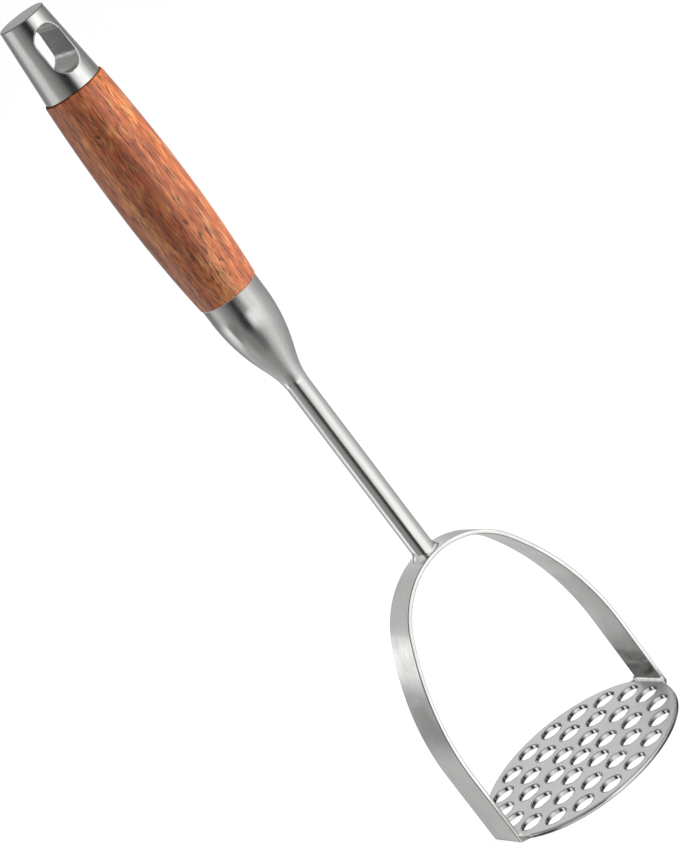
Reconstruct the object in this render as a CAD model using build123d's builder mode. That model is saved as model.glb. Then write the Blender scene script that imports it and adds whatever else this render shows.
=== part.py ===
from build123d import *

import math
import os

# Potato masher: a round holed plate hung from an arched strap, a round stem and a turned wooden grip.
# Millimetres. It stands on its plate: the origin is the centre of the plate's underside, +Z runs up
# the stem, X runs from foot to foot of the arch and Y across the width of the strap.

# Mashing plate
plate_diameter = 77.0
plate_thickness = 1.6
plate_edge_break = 0.3
plate_rim_margin = 2.7
hole_web = 2.6
hole_ring_count = 3
holes_added_per_ring = 6

# Arched strap
strap_foot_width = 15.8
crown_wider_than_stem = 2.5
strap_thickness = 1.5
strap_edge_break = 0.3
arch_height = 93.8
shoulder_inset = 9.5
straight_foot_height = 29.0
foot_seat_depth = 0.15

# Weld beads
foot_weld_reach = 3.2
foot_weld_cover = 0.9
foot_bead_leg = 0.9
neck_weld_rise = 3.0
neck_weld_reach = 1.5
neck_toe_sink = 0.1

# Stem and its tang
stem_diameter = 8.0
stem_showing_length = 73.7
tang_diameter = 6.0
tang_reach_into_cap = 1.6

# Ferrule
ferrule_diameter = 20.9
ferrule_land_length = 5.5
ferrule_taper_length = 32.1
ferrule_tip_wall = 0.25
ferrule_wall = 1.0

# Wooden grip
grip_length = 83.0
grip_belly_diameter = 25.0
grip_proud_of_ferrule = 0.3
grip_proud_of_cap = 0.65
tenon_length = 8.0
tang_bore_clearance = 0.25

# End cap with the slot that it hangs by
cap_length = 27.0
cap_base_diameter = 20.5
cap_top_diameter = 16.2
cap_edge_break = 0.3
slot_width = 9.7
slot_margin_below = 5.65
slot_margin_above = 4.55
slot_edge_round = 0.4
spigot_diameter = 12.0
spigot_length = 12.0
spigot_clearance = 0.1
spigot_relief = 0.5

# Shares of the sizes above, and the slope at which a bead leaves the metal
coped_end_share = 0.5
bead_root_share = 0.6
bead_lean_share = 0.12
belly_height_share = 0.469
ogee_drop_share = 0.656
ogee_inset_share = 0.573

# Radii, heights and places worked out from the named sizes
plate_radius = plate_diameter / 2
hole_ring_pitch = (2 * (plate_radius - plate_rim_margin) + hole_web) / (2 * hole_ring_count + 1)
hole_radius = (hole_ring_pitch - hole_web) / 2
foot_inner_x = plate_radius - foot_seat_depth
foot_outer_x = foot_inner_x + strap_thickness
crown_radius = foot_outer_x - shoulder_inset
strap_crown_width = stem_diameter + crown_wider_than_stem
stem_radius = stem_diameter / 2
tang_radius = tang_diameter / 2
ferrule_radius = ferrule_diameter / 2
ferrule_tip_radius = stem_radius + ferrule_tip_wall
tenon_radius = ferrule_radius - ferrule_wall
spigot_radius = spigot_diameter / 2
ferrule_tip = arch_height + stem_showing_length
ferrule_land_start = ferrule_tip + ferrule_taper_length
lower_seam = ferrule_land_start + ferrule_land_length
tenon_end = lower_seam - tenon_length
upper_seam = lower_seam + grip_length
spigot_end = upper_seam - spigot_length
tang_top = upper_seam + tang_reach_into_cap
cap_top = upper_seam + cap_length
slot_length = cap_length - slot_margin_below - slot_margin_above
slot_centre = upper_seam + slot_margin_below + slot_length / 2
cut_overrun = plate_diameter


# Mashing plate: a disc with rings of holes, dressed flat on two sides where the feet are welded
with BuildPart() as mash_plate:
    with BuildSketch(Plane.XZ):
        with Locations((plate_radius / 2, plate_thickness / 2)):
            section = Rectangle(plate_radius, plate_thickness)
        chamfer(section.vertices().group_by(Axis.X)[-1], plate_edge_break)
    revolve(axis=Axis.Z)
    with BuildSketch():
        Rectangle(2 * foot_inner_x, cut_overrun)
    extrude(amount=plate_thickness, mode=Mode.INTERSECT)
    with BuildSketch():
        Circle(hole_radius)
        for ring in range(1, hole_ring_count + 1):
            holes = ring * holes_added_per_ring
            half_step = 180 / holes
            with PolarLocations(ring * hole_ring_pitch, holes, start_angle=(ring % 2) * half_step):
                Circle(hole_radius)
    extrude(amount=plate_thickness, mode=Mode.SUBTRACT)
mash_plate.part.label = "mash_plate"

# Arched strap: a flat blank bent over from foot to foot, with parallel legs that narrow to the crown.
# On each side a wide shoulder arc runs tangent from the straight foot into the tighter crown arc
crown_centre = arch_height - crown_radius
crown_rise = crown_centre - straight_foot_height
shoulder_radius = (foot_outer_x + crown_radius + crown_rise**2 / shoulder_inset) / 2
shoulder_centre = (foot_outer_x - shoulder_radius, straight_foot_height)
shoulder_turn = math.degrees(math.atan2(crown_rise, shoulder_radius - foot_outer_x))
with BuildPart() as arch_strap:
    with BuildSketch(Plane.XZ):
        for depth, mode in ((0, Mode.ADD), (strap_thickness, Mode.SUBTRACT)):
            with BuildLine():
                Line((0, 0), (foot_outer_x - depth, 0))
                Line((foot_outer_x - depth, 0), (foot_outer_x - depth, straight_foot_height))
                CenterArc(shoulder_centre, shoulder_radius - depth, 0, shoulder_turn)
                CenterArc((0, crown_centre), crown_radius - depth, shoulder_turn, 90 - shoulder_turn)
                mirror(about=Plane.YZ)
            make_face(mode=mode)
    extrude(amount=strap_foot_width / 2, both=True)
    with BuildSketch(Plane.YZ):
        with BuildLine():
            leg = Line((strap_foot_width / 2, 0), (strap_foot_width / 2, straight_foot_height))
            taper = TangentArc(leg @ 1, (strap_crown_width / 2, arch_height), tangent=leg % 1)
            Line(taper @ 1, (0, arch_height))
            Line((0, 0), leg @ 0)
            mirror(about=Plane.YZ)
        make_face()
    extrude(amount=foot_outer_x, both=True, mode=Mode.INTERSECT)
    near_legs, near_top, *_, far_top, far_legs = arch_strap.faces().group_by(Axis.Y)
    sides = near_legs + near_top + far_top + far_legs
    chamfer(sides.edges().filter_by(Axis.X, reverse=True), strap_edge_break)
arch_strap.part.label = "arch_strap"

# Stem: a round bar coped onto the crown, turned down above its shoulder to a tang through the grip
stem_foot = arch_height - coped_end_share * strap_thickness
with BuildPart() as stem:
    with BuildSketch(Plane.XY.offset(stem_foot)):
        Circle(stem_radius)
    extrude(amount=tenon_end - stem_foot)
    with BuildSketch(Plane.XY.offset(tenon_end)):
        Circle(tang_radius)
    extrude(amount=tang_top - tenon_end)
    add(arch_strap.part, mode=Mode.SUBTRACT)
stem.part.label = "stem"

# Neck weld: a hollow-faced bead round the foot of the stem, trimmed to the crown's curve and width
neck_toe_radius = stem_radius + neck_weld_reach
neck_toe_height = crown_centre + math.sqrt(crown_radius**2 - neck_toe_radius**2) - neck_toe_sink
neck_root = arch_height - bead_root_share * strap_thickness
with BuildPart() as neck_weld:
    with BuildSketch(Plane.XZ):
        with BuildLine():
            neck_top = (stem_radius, arch_height + neck_weld_rise)
            face = TangentArc(neck_top, (neck_toe_radius, neck_toe_height), tangent=(bead_lean_share, -1))
            Polyline(face @ 1, (neck_toe_radius, neck_root), (stem_radius, neck_root), neck_top)
        make_face()
    revolve(axis=Axis.Z)
    with BuildSketch(Plane.XY.offset(neck_root)):
        Rectangle(2 * neck_toe_radius, strap_crown_width)
    extrude(amount=neck_top[1] - neck_root, mode=Mode.INTERSECT)
    add(arch_strap.part, mode=Mode.SUBTRACT)
neck_weld.part.label = "neck_weld"

# Foot welds: each fills the wedges between the round rim and the flat foot, flares out past both
# edges of the strap and carries a small bead along the joint on top of the plate
flare_end_y = strap_foot_width / 2 + foot_weld_reach
flare_end_x = math.sqrt(plate_radius**2 - flare_end_y**2)
weld_root_x = foot_inner_x - foot_bead_leg
weld_cover_x = foot_inner_x + foot_weld_cover
bead_top = plate_thickness + foot_bead_leg
foot_welds = []
for side, label in ((-1, "foot_weld_left"), (1, "foot_weld_right")):
    with BuildPart() as foot_weld:
        with BuildSketch():
            with BuildLine():
                along_rim = (
                    side * (flare_end_y + bead_lean_share * flare_end_x),
                    bead_lean_share * flare_end_y - flare_end_x,
                )
                flare_end = (side * flare_end_x, flare_end_y)
                strap_corner = (side * weld_cover_x, strap_foot_width / 2)
                TangentArc(flare_end, strap_corner, tangent=along_rim)
                Polyline(
                    strap_corner,
                    (side * weld_cover_x, 0),
                    (side * weld_root_x, 0),
                    (side * weld_root_x, strap_foot_width / 2),
                    flare_end,
                )
            make_face()
            mirror(about=Plane.XZ)
        extrude(amount=plate_thickness)
        with BuildSketch(Plane.XZ):
            with BuildLine():
                bead_toe = (side * weld_root_x, plate_thickness)
                bead = TangentArc(
                    (side * foot_inner_x, bead_top),
                    bead_toe,
                    tangent=(-side * bead_lean_share, -1),
                )
                Polyline(
                    bead_toe,
                    (side * weld_cover_x, plate_thickness),
                    (side * weld_cover_x, bead_top),
                    bead @ 0,
                )
            make_face()
        extrude(amount=strap_foot_width / 2, both=True)
        add(mash_plate.part, mode=Mode.SUBTRACT)
        add(arch_strap.part, mode=Mode.SUBTRACT)
    foot_weld.part.label = label
    foot_welds.append(foot_weld.part)

# Ferrule: a hollow ogee cone with a thin lip round the stem at its tip and a socket for the tenon
ogee_radius = ferrule_radius - ogee_inset_share * (ferrule_radius - ferrule_tip_radius)
ogee_height = ferrule_land_start - ogee_drop_share * ferrule_taper_length
hollow_slope = (ogee_radius - ferrule_tip_radius) / (ogee_height - ferrule_tip)
hollow_radius = ogee_radius - ferrule_wall
hollow_end = ogee_height - (hollow_radius - stem_radius) / hollow_slope
with BuildPart() as ferrule:
    with BuildSketch(Plane.XZ):
        with BuildLine():
            land = Line((ferrule_radius, lower_seam), (ferrule_radius, ferrule_land_start))
            bell = TangentArc(land @ 1, (ogee_radius, ogee_height), tangent=land % 1)
            flute = TangentArc(bell @ 1, (ferrule_tip_radius, ferrule_tip), tangent=bell % 1)
            socket = Line((tenon_radius, lower_seam), (tenon_radius, tenon_end))
            hollow = TangentArc(socket @ 1, (hollow_radius, ogee_height), tangent=socket % 1)
            Polyline(hollow @ 1, (stem_radius, hollow_end), (stem_radius, ferrule_tip), flute @ 1)
            Line(socket @ 0, land @ 0)
        make_face()
    revolve(axis=Axis.Z)
ferrule.part.label = "ferrule"

# Grip: a turned wooden barrel with a tenon in the ferrule, bored for the tang and the cap's spigot
belly = (grip_belly_diameter / 2, lower_seam + belly_height_share * grip_length)
grip_lower_radius = ferrule_radius + grip_proud_of_ferrule
grip_upper_radius = cap_base_diameter / 2 + grip_proud_of_cap
tang_bore_radius = tang_radius + tang_bore_clearance
with BuildPart() as grip:
    with BuildSketch(Plane.XZ):
        with BuildLine():
            upper = TangentArc(belly, (grip_upper_radius, upper_seam), tangent=(0, 1))
            lower = TangentArc(belly, (grip_lower_radius, lower_seam), tangent=(0, -1))
            Polyline(upper @ 1, (0, upper_seam), (0, lower_seam), lower @ 1)
        make_face()
    revolve(axis=Axis.Z)
    fillet(grip.faces().sort_by(Axis.Z)[0].edges(), grip_proud_of_ferrule)
    fillet(grip.faces().sort_by(Axis.Z)[-1].edges(), grip_proud_of_cap)
    with BuildSketch(Plane.XY.offset(tenon_end)):
        Circle(tenon_radius)
    extrude(amount=tenon_length)
    with BuildSketch(Plane.XY.offset(tenon_end)):
        Circle(tang_bore_radius)
    extrude(amount=upper_seam - tenon_end, mode=Mode.SUBTRACT)
    with BuildSketch(Plane.XY.offset(spigot_end - spigot_relief)):
        Circle(spigot_radius + spigot_clearance)
    extrude(amount=spigot_length + spigot_relief, mode=Mode.SUBTRACT)
grip.part.label = "grip"

# End cap: a tapered plug with a through slot, whose bored spigot draws up on the tang
with BuildPart() as end_cap:
    with BuildSketch(Plane.XZ):
        with BuildLine():
            Polyline(
                (0, cap_top),
                (cap_top_diameter / 2, cap_top),
                (cap_base_diameter / 2, upper_seam),
                (spigot_radius, upper_seam),
                (spigot_radius, spigot_end),
                (tang_radius, spigot_end),
                (tang_radius, tang_top),
                (0, tang_top),
                close=True,
            )
        section = make_face()
        chamfer(section.vertices().group_by(Axis.Y)[-1].sort_by(Axis.X)[-1], cap_edge_break)
    revolve(axis=Axis.Z)
    with BuildSketch(Plane.XZ):
        with Locations((0, slot_centre)):
            SlotOverall(slot_length, slot_width, rotation=90)
    extrude(amount=cut_overrun, both=True, mode=Mode.SUBTRACT)
    slot_rims = end_cap.edges().filter_by(
        lambda edge: edge.geom_type not in (GeomType.LINE, GeomType.CIRCLE)
    )
    fillet(slot_rims, slot_edge_round)
end_cap.part.label = "end_cap"

os.makedirs("parts", exist_ok=True)
pieces = [
    mash_plate.part,
    arch_strap.part,
    stem.part,
    neck_weld.part,
    *foot_welds,
    ferrule.part,
    grip.part,
    end_cap.part,
]
for piece in pieces:
    export_step(piece, f"parts/{piece.label}.step")
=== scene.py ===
import math

import bpy
import bmesh
from mathutils import Matrix, Vector
from mathutils.geometry import delaunay_2d_cdt


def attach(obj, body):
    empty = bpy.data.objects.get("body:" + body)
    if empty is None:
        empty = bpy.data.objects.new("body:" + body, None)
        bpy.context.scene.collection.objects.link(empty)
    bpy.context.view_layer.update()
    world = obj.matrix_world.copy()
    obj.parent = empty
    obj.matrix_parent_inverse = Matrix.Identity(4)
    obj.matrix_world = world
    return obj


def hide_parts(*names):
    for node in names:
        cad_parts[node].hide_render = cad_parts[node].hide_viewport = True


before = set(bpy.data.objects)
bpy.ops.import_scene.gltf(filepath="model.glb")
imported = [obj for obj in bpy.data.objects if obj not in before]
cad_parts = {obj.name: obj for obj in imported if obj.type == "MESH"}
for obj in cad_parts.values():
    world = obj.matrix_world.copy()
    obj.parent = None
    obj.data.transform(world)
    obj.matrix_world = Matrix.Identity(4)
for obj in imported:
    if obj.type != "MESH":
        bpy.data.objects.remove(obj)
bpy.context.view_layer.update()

# Lengths are in millimetres and angles in degrees, except where a name ends in _M, for metres.
# Noise scales are in cells per metre. MM turns millimetres into Blender's metres.
MM = 0.001

# Mashing plate
PLATE_RADIUS = 38.5
PLATE_THICKNESS = 1.6
PLATE_FLAT_X = 38.35
PLATE_EDGE_ROUND = 0.35
PLATE_EDGE_LINE = 0.22
HOLE_RADIUS = 4.0
HOLE_EDGE_ROUND = 0.16
HOLE_RING_PITCH = 10.6
HOLE_RINGS = ((6, 30.0), (12, 0.0), (18, 10.0))
RIM_SEGMENTS = 288
HOLE_SEGMENTS = 56
PLATE_ROUND_STEPS = 3
PLATE_FLAT_NORMAL = 0.9999
PLATE_LINE_NORMAL = 0.2

# Arched strap
STRAP_THICKNESS = 1.5
STRAP_EDGE_ROUND = 0.42
STRAP_CORNER_STEPS = 4
STRAP_EDGE_NORMAL = 0.12
STRAP_FLAT_EDGE_NORMAL = 0.75
FOOT_OUTER_X = 39.85
FOOT_INNER_X = 38.35
FOOT_ROUND = 1.1
FOOT_ROUND_SHARES = (0.0, 0.08, 0.2, 0.4, 0.65)
FOOT_HALF_WIDTH = 7.9
FOOT_STEPS = 6
STRAIGHT_FOOT = 29.0
SHOULDER_CENTRE_X = -57.713
SHOULDER_RADIUS = 97.563
SHOULDER_TURN = 30.834
SHOULDER_STEPS = 40
CROWN_CENTRE_Z = 63.45
CROWN_RADIUS = 30.35
CROWN_HALF_WIDTH = 5.25
CROWN_STEPS = 44
ARCH_HEIGHT = 93.8

# Stem and neck weld
STEM_RADIUS = 4.0
STEM_FOOT = 93.0
TANG_RADIUS = 3.0
TANG_TOP = 289.7
NECK_TOP = 96.8
NECK_TOE_X = 5.5
NECK_TOE_Y = 5.15
NECK_LEAN = 0.12
NECK_SIDE_DROP = 2.6
NECK_SINK = 0.05
NECK_SIDE_SINK = 0.12
NECK_OVERLAP = 0.2
NECK_SEGMENTS = 120
NECK_STEPS = 14

# Foot welds
BEAD_LEG = 1.0
BEAD_LEAN = 0.12
BEAD_SINK = 0.2
BEAD_OVERLAP = 0.5
BEAD_STEPS = 8
FLARE_REACH = 3.2
FLARE_HEIGHT = 1.5
FLARE_COVER = 0.9
FLARE_THICKNESS = 1.3
FLARE_BOTTOM = 0.1
FLARE_END = 0.01
FLARE_ROUND = 0.3
FLARE_ROUND_STEPS = 4
FLARE_STEPS = 14

# Ferrule
FERRULE_TIP = 167.5
FERRULE_TIP_RADIUS = 4.12
FERRULE_TIP_LEAN = 0.02
FERRULE_RADIUS = 10.45
FERRULE_EDGE_ROUND = 0.3
FERRULE_WALL = 1.0
FERRULE_OVERLAP = 0.05
OGEE_HEIGHT = 178.54
OGEE_RADIUS = 6.897
LAND_START = 199.6
TENON_RADIUS = 9.45
TENON_END = 197.1
HOLLOW_END = 171.6
LOWER_SEAM = 205.1
BELL_STEPS = 30
FLUTE_STEPS = 24
HOLLOW_STEPS = 12

# Grip
UPPER_SEAM = 288.1
BELLY_HEIGHT = 244.03
BELLY_RADIUS = 12.5
BELLY_STEPS = 36
GRIP_LOWER_RADIUS = 10.75
GRIP_LOWER_ROUND = 0.3
GRIP_UPPER_RADIUS = 10.9
GRIP_UPPER_ROUND = 1.05
TANG_BORE_RADIUS = 3.25
SPIGOT_BORE_RADIUS = 6.1
SPIGOT_BORE_END = 275.6

# End cap
CAP_TOP = 315.1
CAP_BASE_RADIUS = 10.25
CAP_TOP_RADIUS = 8.1
CAP_EDGE_ROUND = 0.35
CAP_TOP_ROW = CAP_TOP - CAP_EDGE_ROUND
CAP_SIDE_CELLS = 36
CAP_BAND_CELLS = 8
CAP_ROUND_STEPS = 5
SLOT_HALF_WIDTH = 4.85
SLOT_CENTRE = 302.15
SLOT_STRAIGHT_HALF = 3.55
SLOT_EDGE_ROUND = 0.4
SLOT_LIMIT = 9.0
SLOT_WALL_NORMAL = 0.02
# Where the slot's near left rim gets the painted dark reflection
DARK_RIM_X = -1.0
DARK_RIM_SHARE = 0.9
SPIGOT_RADIUS = 6.0
SPIGOT_END = 276.1

TINY = 0.01
LATHE_SEGMENTS = 192
SHARP_ANGLE = 35.0
MERGE_DISTANCE = 0.002

# Camera and studio
PHOTO_AIM_M = Vector((0.0210, 0.0370, 0.1341))
CAMERA_PLACE_M = Vector((-0.44877, -0.96969, 0.48243))
CAMERA_RIGHT = Vector((0.646464, -0.500699, -0.575660))
CAMERA_UP = Vector((0.647480, -0.039049, 0.761081))
CAMERA_LENS = 147.02
CAMERA_SENSOR = 36.0
CAMERA_CLIP_M = (0.05, 50.0)
TOWARDS_CAMERA = Vector((-0.4214, -0.9069, 0.0))
TOWARDS_RIGHT = Vector((0.9069, -0.4214, 0.0))

# Colours
STEEL = (0.745, 0.738, 0.722)
STEEL_DULL = (0.655, 0.648, 0.636)
BLASTED = (0.76, 0.757, 0.75)
BLASTED_DULL = (0.66, 0.657, 0.65)
# Weld colours with random stains, both brighter than the steel, partly a painted highlight
WELD_CLEAN_HIGHLIGHT = (1.0, 0.995, 0.985)
WELD_STAINED = (0.80, 0.79, 0.775)
# Colour of the painted dark reflection lines on the neck weld
WELD_REFLECTION_LINE = (0.06, 0.059, 0.057)
# Colour of the painted dark reflection on the strap's inner faces by the foot welds
FOOT_DARK = (0.17, 0.166, 0.160)
WOOD_BODY = (
    (0.30, (0.240, 0.066, 0.030)),
    (0.43, (0.470, 0.112, 0.032)),
    (0.55, (0.640, 0.172, 0.046)),
    (0.68, (0.820, 0.320, 0.100)),
)
WOOD_LIGHT = (0.970, 0.490, 0.180)
WOOD_DARK = (0.190, 0.052, 0.028)
WOOD_VEIN = (0.130, 0.034, 0.016)
WOOD_FIBRE = (0.130, 0.032, 0.014)
WOOD_PORE = (0.050, 0.018, 0.010)
# Colour of the painted shade in the seam under the end cap
WOOD_SEAM_SHADE = (0.045, 0.016, 0.012)

# Noise values between which most materials change from one colour or roughness to the other
NOISE_LOW = 0.3
NOISE_HIGH = 0.7


# Small geometry helpers


def arc_points(start, end, tangent, steps):
    """Points of the circular arc that leaves start along tangent and ends at end, both included."""
    start = Vector(start)
    end = Vector(end)
    along = Vector(tangent).normalized()
    chord = end - start
    cross = along.x * chord.y - along.y * chord.x
    turn = 2 * math.atan2(cross, along.dot(chord))
    side = Vector((-along.y, along.x))
    centre = start + side * (chord.length / (2 * math.sin(turn / 2)))
    arm = start - centre
    return [centre + Matrix.Rotation(turn * i / steps, 2) @ arm for i in range(steps + 1)]


def eased_points(start, start_direction, end, end_direction, steps):
    """Points of a smooth curve that leaves start and reaches end along the given directions."""
    start = Vector(start)
    end = Vector(end)
    chord = (end - start).length
    leave = Vector(start_direction).normalized() * chord
    reach = Vector(end_direction).normalized() * chord
    points = []
    for i in range(steps + 1):
        t = i / steps
        along = start * (2 * t**3 - 3 * t**2 + 1) + end * (3 * t**2 - 2 * t**3)
        points.append(along + leave * (t**3 - 2 * t**2 + t) + reach * (t**3 - t**2))
    return points


def corner_points(before, corner, after, radius, steps):
    """Points of a round of that radius on a corner between two straight runs, in any dimension."""
    before = Vector(before)
    corner = Vector(corner)
    after = Vector(after)
    back = (before - corner).normalized()
    ahead = (after - corner).normalized()
    half = back.angle(ahead) / 2
    cut = radius / math.tan(half)
    weight = math.sin(half)
    first = corner + back * cut
    last = corner + ahead * cut
    points = []
    for i in range(steps + 1):
        t = i / steps
        a, b, c = (1 - t) ** 2, 2 * t * (1 - t) * weight, t * t
        points.append((first * a + corner * b + last * c) / (a + b + c))
    return points


def rounded_profile(points, rounds, steps=5):
    """A closed profile whose listed corners, by index, are rounded by their radii."""
    result = []
    for i, point in enumerate(points):
        if i in rounds:
            after = points[(i + 1) % len(points)]
            result += corner_points(points[i - 1], point, after, rounds[i], steps)
        else:
            result.append(Vector(point))
    return result


def ring_faces(first, rings, count):
    """Faces that join neighbouring closed rings of count vertices, which start at vertex first."""
    faces = []
    for i in range(rings - 1):
        low = first + i * count
        high = low + count
        for j in range(count):
            following = (j + 1) % count
            faces.append((low + j, low + following, high + following, high + j))
    return faces


def finish_mesh(name, verts, faces):
    """A smooth-shaded object with sharp edges kept, from vertices in millimetres."""
    mesh = bpy.data.meshes.new(name)
    mesh.from_pydata([tuple(v * MM for v in vert) for vert in verts], [], faces)
    work = bmesh.new()
    work.from_mesh(mesh)
    bmesh.ops.remove_doubles(work, verts=work.verts, dist=MERGE_DISTANCE * MM)
    bmesh.ops.recalc_face_normals(work, faces=work.faces)
    work.to_mesh(mesh)
    work.free()
    mesh.shade_smooth()
    mesh.set_sharp_from_angle(angle=math.radians(SHARP_ANGLE))
    piece = bpy.data.objects.new(name, mesh)
    bpy.context.scene.collection.objects.link(piece)
    weighted = piece.modifiers.new("large_face_normals", "WEIGHTED_NORMAL")
    weighted.keep_sharp = True
    weighted.weight = 100
    return piece


def dress(piece, slot, materials, *nodes):
    """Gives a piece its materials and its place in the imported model."""
    for material in materials:
        piece.data.materials.append(material)
    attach(piece, "root")
    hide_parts(*nodes)


def mark_faces(piece, index, test):
    """Gives the faces that pass the test another of the piece's materials."""
    for polygon in piece.data.polygons:
        if test(polygon):
            polygon.material_index = index


def lathe(profile):
    """Vertices and faces of a ring-shaped body turned from a closed (radius, height) profile."""
    verts = []
    faces = []
    count = len(profile)
    for j in range(LATHE_SEGMENTS):
        angle = 2 * math.pi * j / LATHE_SEGMENTS
        verts += [(radius * math.cos(angle), radius * math.sin(angle), z) for radius, z in profile]
        here = j * count
        beside = (j + 1) % LATHE_SEGMENTS * count
        for i in range(count):
            after = (i + 1) % count
            if profile[i][0] > 0 or profile[after][0] > 0:
                faces.append((here + i, beside + i, beside + after, here + after))
    return verts, faces


# Node helpers


class Graph:
    """One node tree, built with short calls. A value may be a number, a colour or another node's socket."""

    def __init__(self, tree):
        self.tree = tree
        tree.nodes.clear()

    def put(self, socket, value):
        if isinstance(value, bpy.types.NodeSocket):
            self.tree.links.new(value, socket)
        else:
            socket.default_value = value

    def node(self, kind, settings=None, **values):
        """A node with its settings, and its inputs by name, with _ for a space."""
        node = self.tree.nodes.new(kind)
        for key, value in (settings or {}).items():
            setattr(node, key, value)
        for key, value in values.items():
            self.put(node.inputs[key.replace("_", " ")], value)
        return node

    def fed(self, kind, settings, *values):
        """A node with its settings, and its inputs in their order."""
        node = self.node(kind, settings)
        for socket, value in zip(node.inputs, values):
            self.put(socket, value)
        return node

    def math(self, operation, *values):
        return self.fed("ShaderNodeMath", {"operation": operation}, *values).outputs[0]

    def vector(self, operation, *values):
        return self.fed("ShaderNodeVectorMath", {"operation": operation}, *values).outputs["Vector"]

    def measure(self, operation, *values):
        """The number that a length or a dot product gives."""
        return self.fed("ShaderNodeVectorMath", {"operation": operation}, *values).outputs["Value"]

    def span(self, value, low, high, to_low=0.0, to_high=1.0, kind="SMOOTHSTEP"):
        """The value carried from one span to another, and held at its ends."""
        settings = {"interpolation_type": kind}
        return self.fed("ShaderNodeMapRange", settings, value, low, high, to_low, to_high).outputs[0]

    def noise_span(self, noise, to_low=0.0, to_high=1.0):
        return self.span(noise, NOISE_LOW, NOISE_HIGH, to_low, to_high)

    def over(self, place, low, high, to_low=0.0, to_high=1.0):
        """The span of a place on the piece between two lengths in millimetres."""
        return self.span(place, low * MM, high * MM, to_low, to_high)

    def ramp(self, value, stops):
        node = self.tree.nodes.new("ShaderNodeValToRGB")
        elements = node.color_ramp.elements
        while len(elements) < len(stops):
            elements.new(0.5)
        for element, (place, colour) in zip(elements, stops):
            element.position = place
            element.color = colour
        self.put(node.inputs[0], value)
        return node.outputs[0]

    def mix(self, factor, first, second):
        node = self.node("ShaderNodeMix", {"data_type": "RGBA"})
        for index, value in ((0, factor), (6, first), (7, second)):
            self.put(node.inputs[index], value)
        return node.outputs[2]

    def axes(self, place):
        return self.node("ShaderNodeSeparateXYZ", Vector=place).outputs

    def noise(self, place, scale, detail=2.0, roughness=0.5):
        settings = {"Scale": 1.0, "Detail": detail, "Roughness": roughness}
        scaled = self.vector("MULTIPLY", place, scale)
        return self.node("ShaderNodeTexNoise", None, Vector=scaled, **settings).outputs["Fac"]

    def bump(self, height, distance, **normal):
        """A relief as deep as the distance, in millimetres."""
        return self.node("ShaderNodeBump", None, Distance=distance * MM, Height=height, **normal).outputs[0]

    def turn(self, place):
        """The azimuth of a place or direction, from the camera towards the picture's right, and 0 to 1."""
        forward = self.measure("DOT_PRODUCT", place, TOWARDS_CAMERA)
        right = self.measure("DOT_PRODUCT", place, TOWARDS_RIGHT)
        azimuth = self.math("DEGREES", self.math("ARCTAN2", right, forward))
        return azimuth, self.span(azimuth, -180.0, 180.0, kind="LINEAR")

    def row(self, turn, stops):
        """The greys of a row of (azimuth, brightness) stops."""
        return self.ramp(turn, [((place + 180) / 360, grey(level)) for place, level in stops])

    def finish(self, shader, kind="ShaderNodeOutputMaterial"):
        self.node(kind, None, Surface=shader.outputs[0])


def solid(colour, bright=1.0):
    """A colour with its alpha, made brighter or darker."""
    return (*(channel * bright for channel in colour), 1.0)


def grey(level):
    return solid((level,) * 3)


def new_material(name):
    """A material with an empty node tree, its graph and its object coordinates."""
    material = bpy.data.materials.new(name)
    material.use_nodes = True
    graph = Graph(material.node_tree)
    return material, graph, graph.node("ShaderNodeTexCoord").outputs["Object"]


def steel_colour(graph, share, bright=1.0):
    """A colour between dull and clean steel."""
    return graph.mix(share, solid(STEEL_DULL, bright), solid(STEEL, bright))


def finish_metal(graph, colour, roughness, normal):
    """Ends a material as bare metal."""
    surface = {"Metallic": 1.0, "Base_Color": colour, "Roughness": roughness, "Normal": normal}
    graph.finish(graph.node("ShaderNodeBsdfPrincipled", None, **surface))


# Materials


def foot_shade(graph, place, strength=0.85, low=6.0, high=17.0, wander=3.0, edge=0.2):
    """Where the strap's inner faces are dark by the foot welds, in place of what they reflect there."""
    x, y, z = graph.axes(place)
    aside = graph.math("ABSOLUTE", x)
    across = graph.math("ABSOLUTE", y)
    inside = graph.over(aside, FOOT_INNER_X + edge / 2, FOOT_INNER_X + edge * 3 / 2, 1.0, 0.0)
    between = graph.over(across, FOOT_HALF_WIDTH - edge, FOOT_HALF_WIDTH, 1.0, 0.0)
    clouds = graph.noise(place, (200.0, 90.0, 330.0))
    height = graph.math("ADD", z, graph.noise_span(clouds, -wander * MM, wander * MM))
    faded = graph.over(height, low, high, strength, 0.0)
    return graph.math("MULTIPLY", faded, graph.math("MULTIPLY", inside, between))


def streaked_steel(name, streaks, patches, roughness, depth, bright=1.0, bright_below=None, dark_feet=False):
    """Satin steel whose fine scratches run along one direction of the piece."""
    material, graph, place = new_material(name)
    scratches = graph.noise(place, streaks, detail=3.0, roughness=0.65)
    tone = graph.span(scratches, 0.32, 0.68)
    # bright above 1 paints a highlight and below 1 paints shade into the steel's colour
    colour = steel_colour(graph, tone, bright)
    # bright_below keeps the unshaded steel below a height and fades the painted shade in above it
    if bright_below is not None:
        above = graph.over(graph.axes(place)[2], *bright_below)
        colour = graph.mix(above, steel_colour(graph, tone), colour)
    # dark_feet paints the dark reflection of foot_shade on the strap's inner faces
    if dark_feet:
        colour = graph.mix(foot_shade(graph, place), colour, solid(FOOT_DARK))
    smooth = graph.noise_span(graph.noise(place, patches), *roughness)
    grain = graph.span(tone, 0.0, 1.0, 0.03, 0.0)
    finish_metal(graph, colour, graph.math("ADD", smooth, grain), graph.bump(scratches, depth))
    return material


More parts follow.
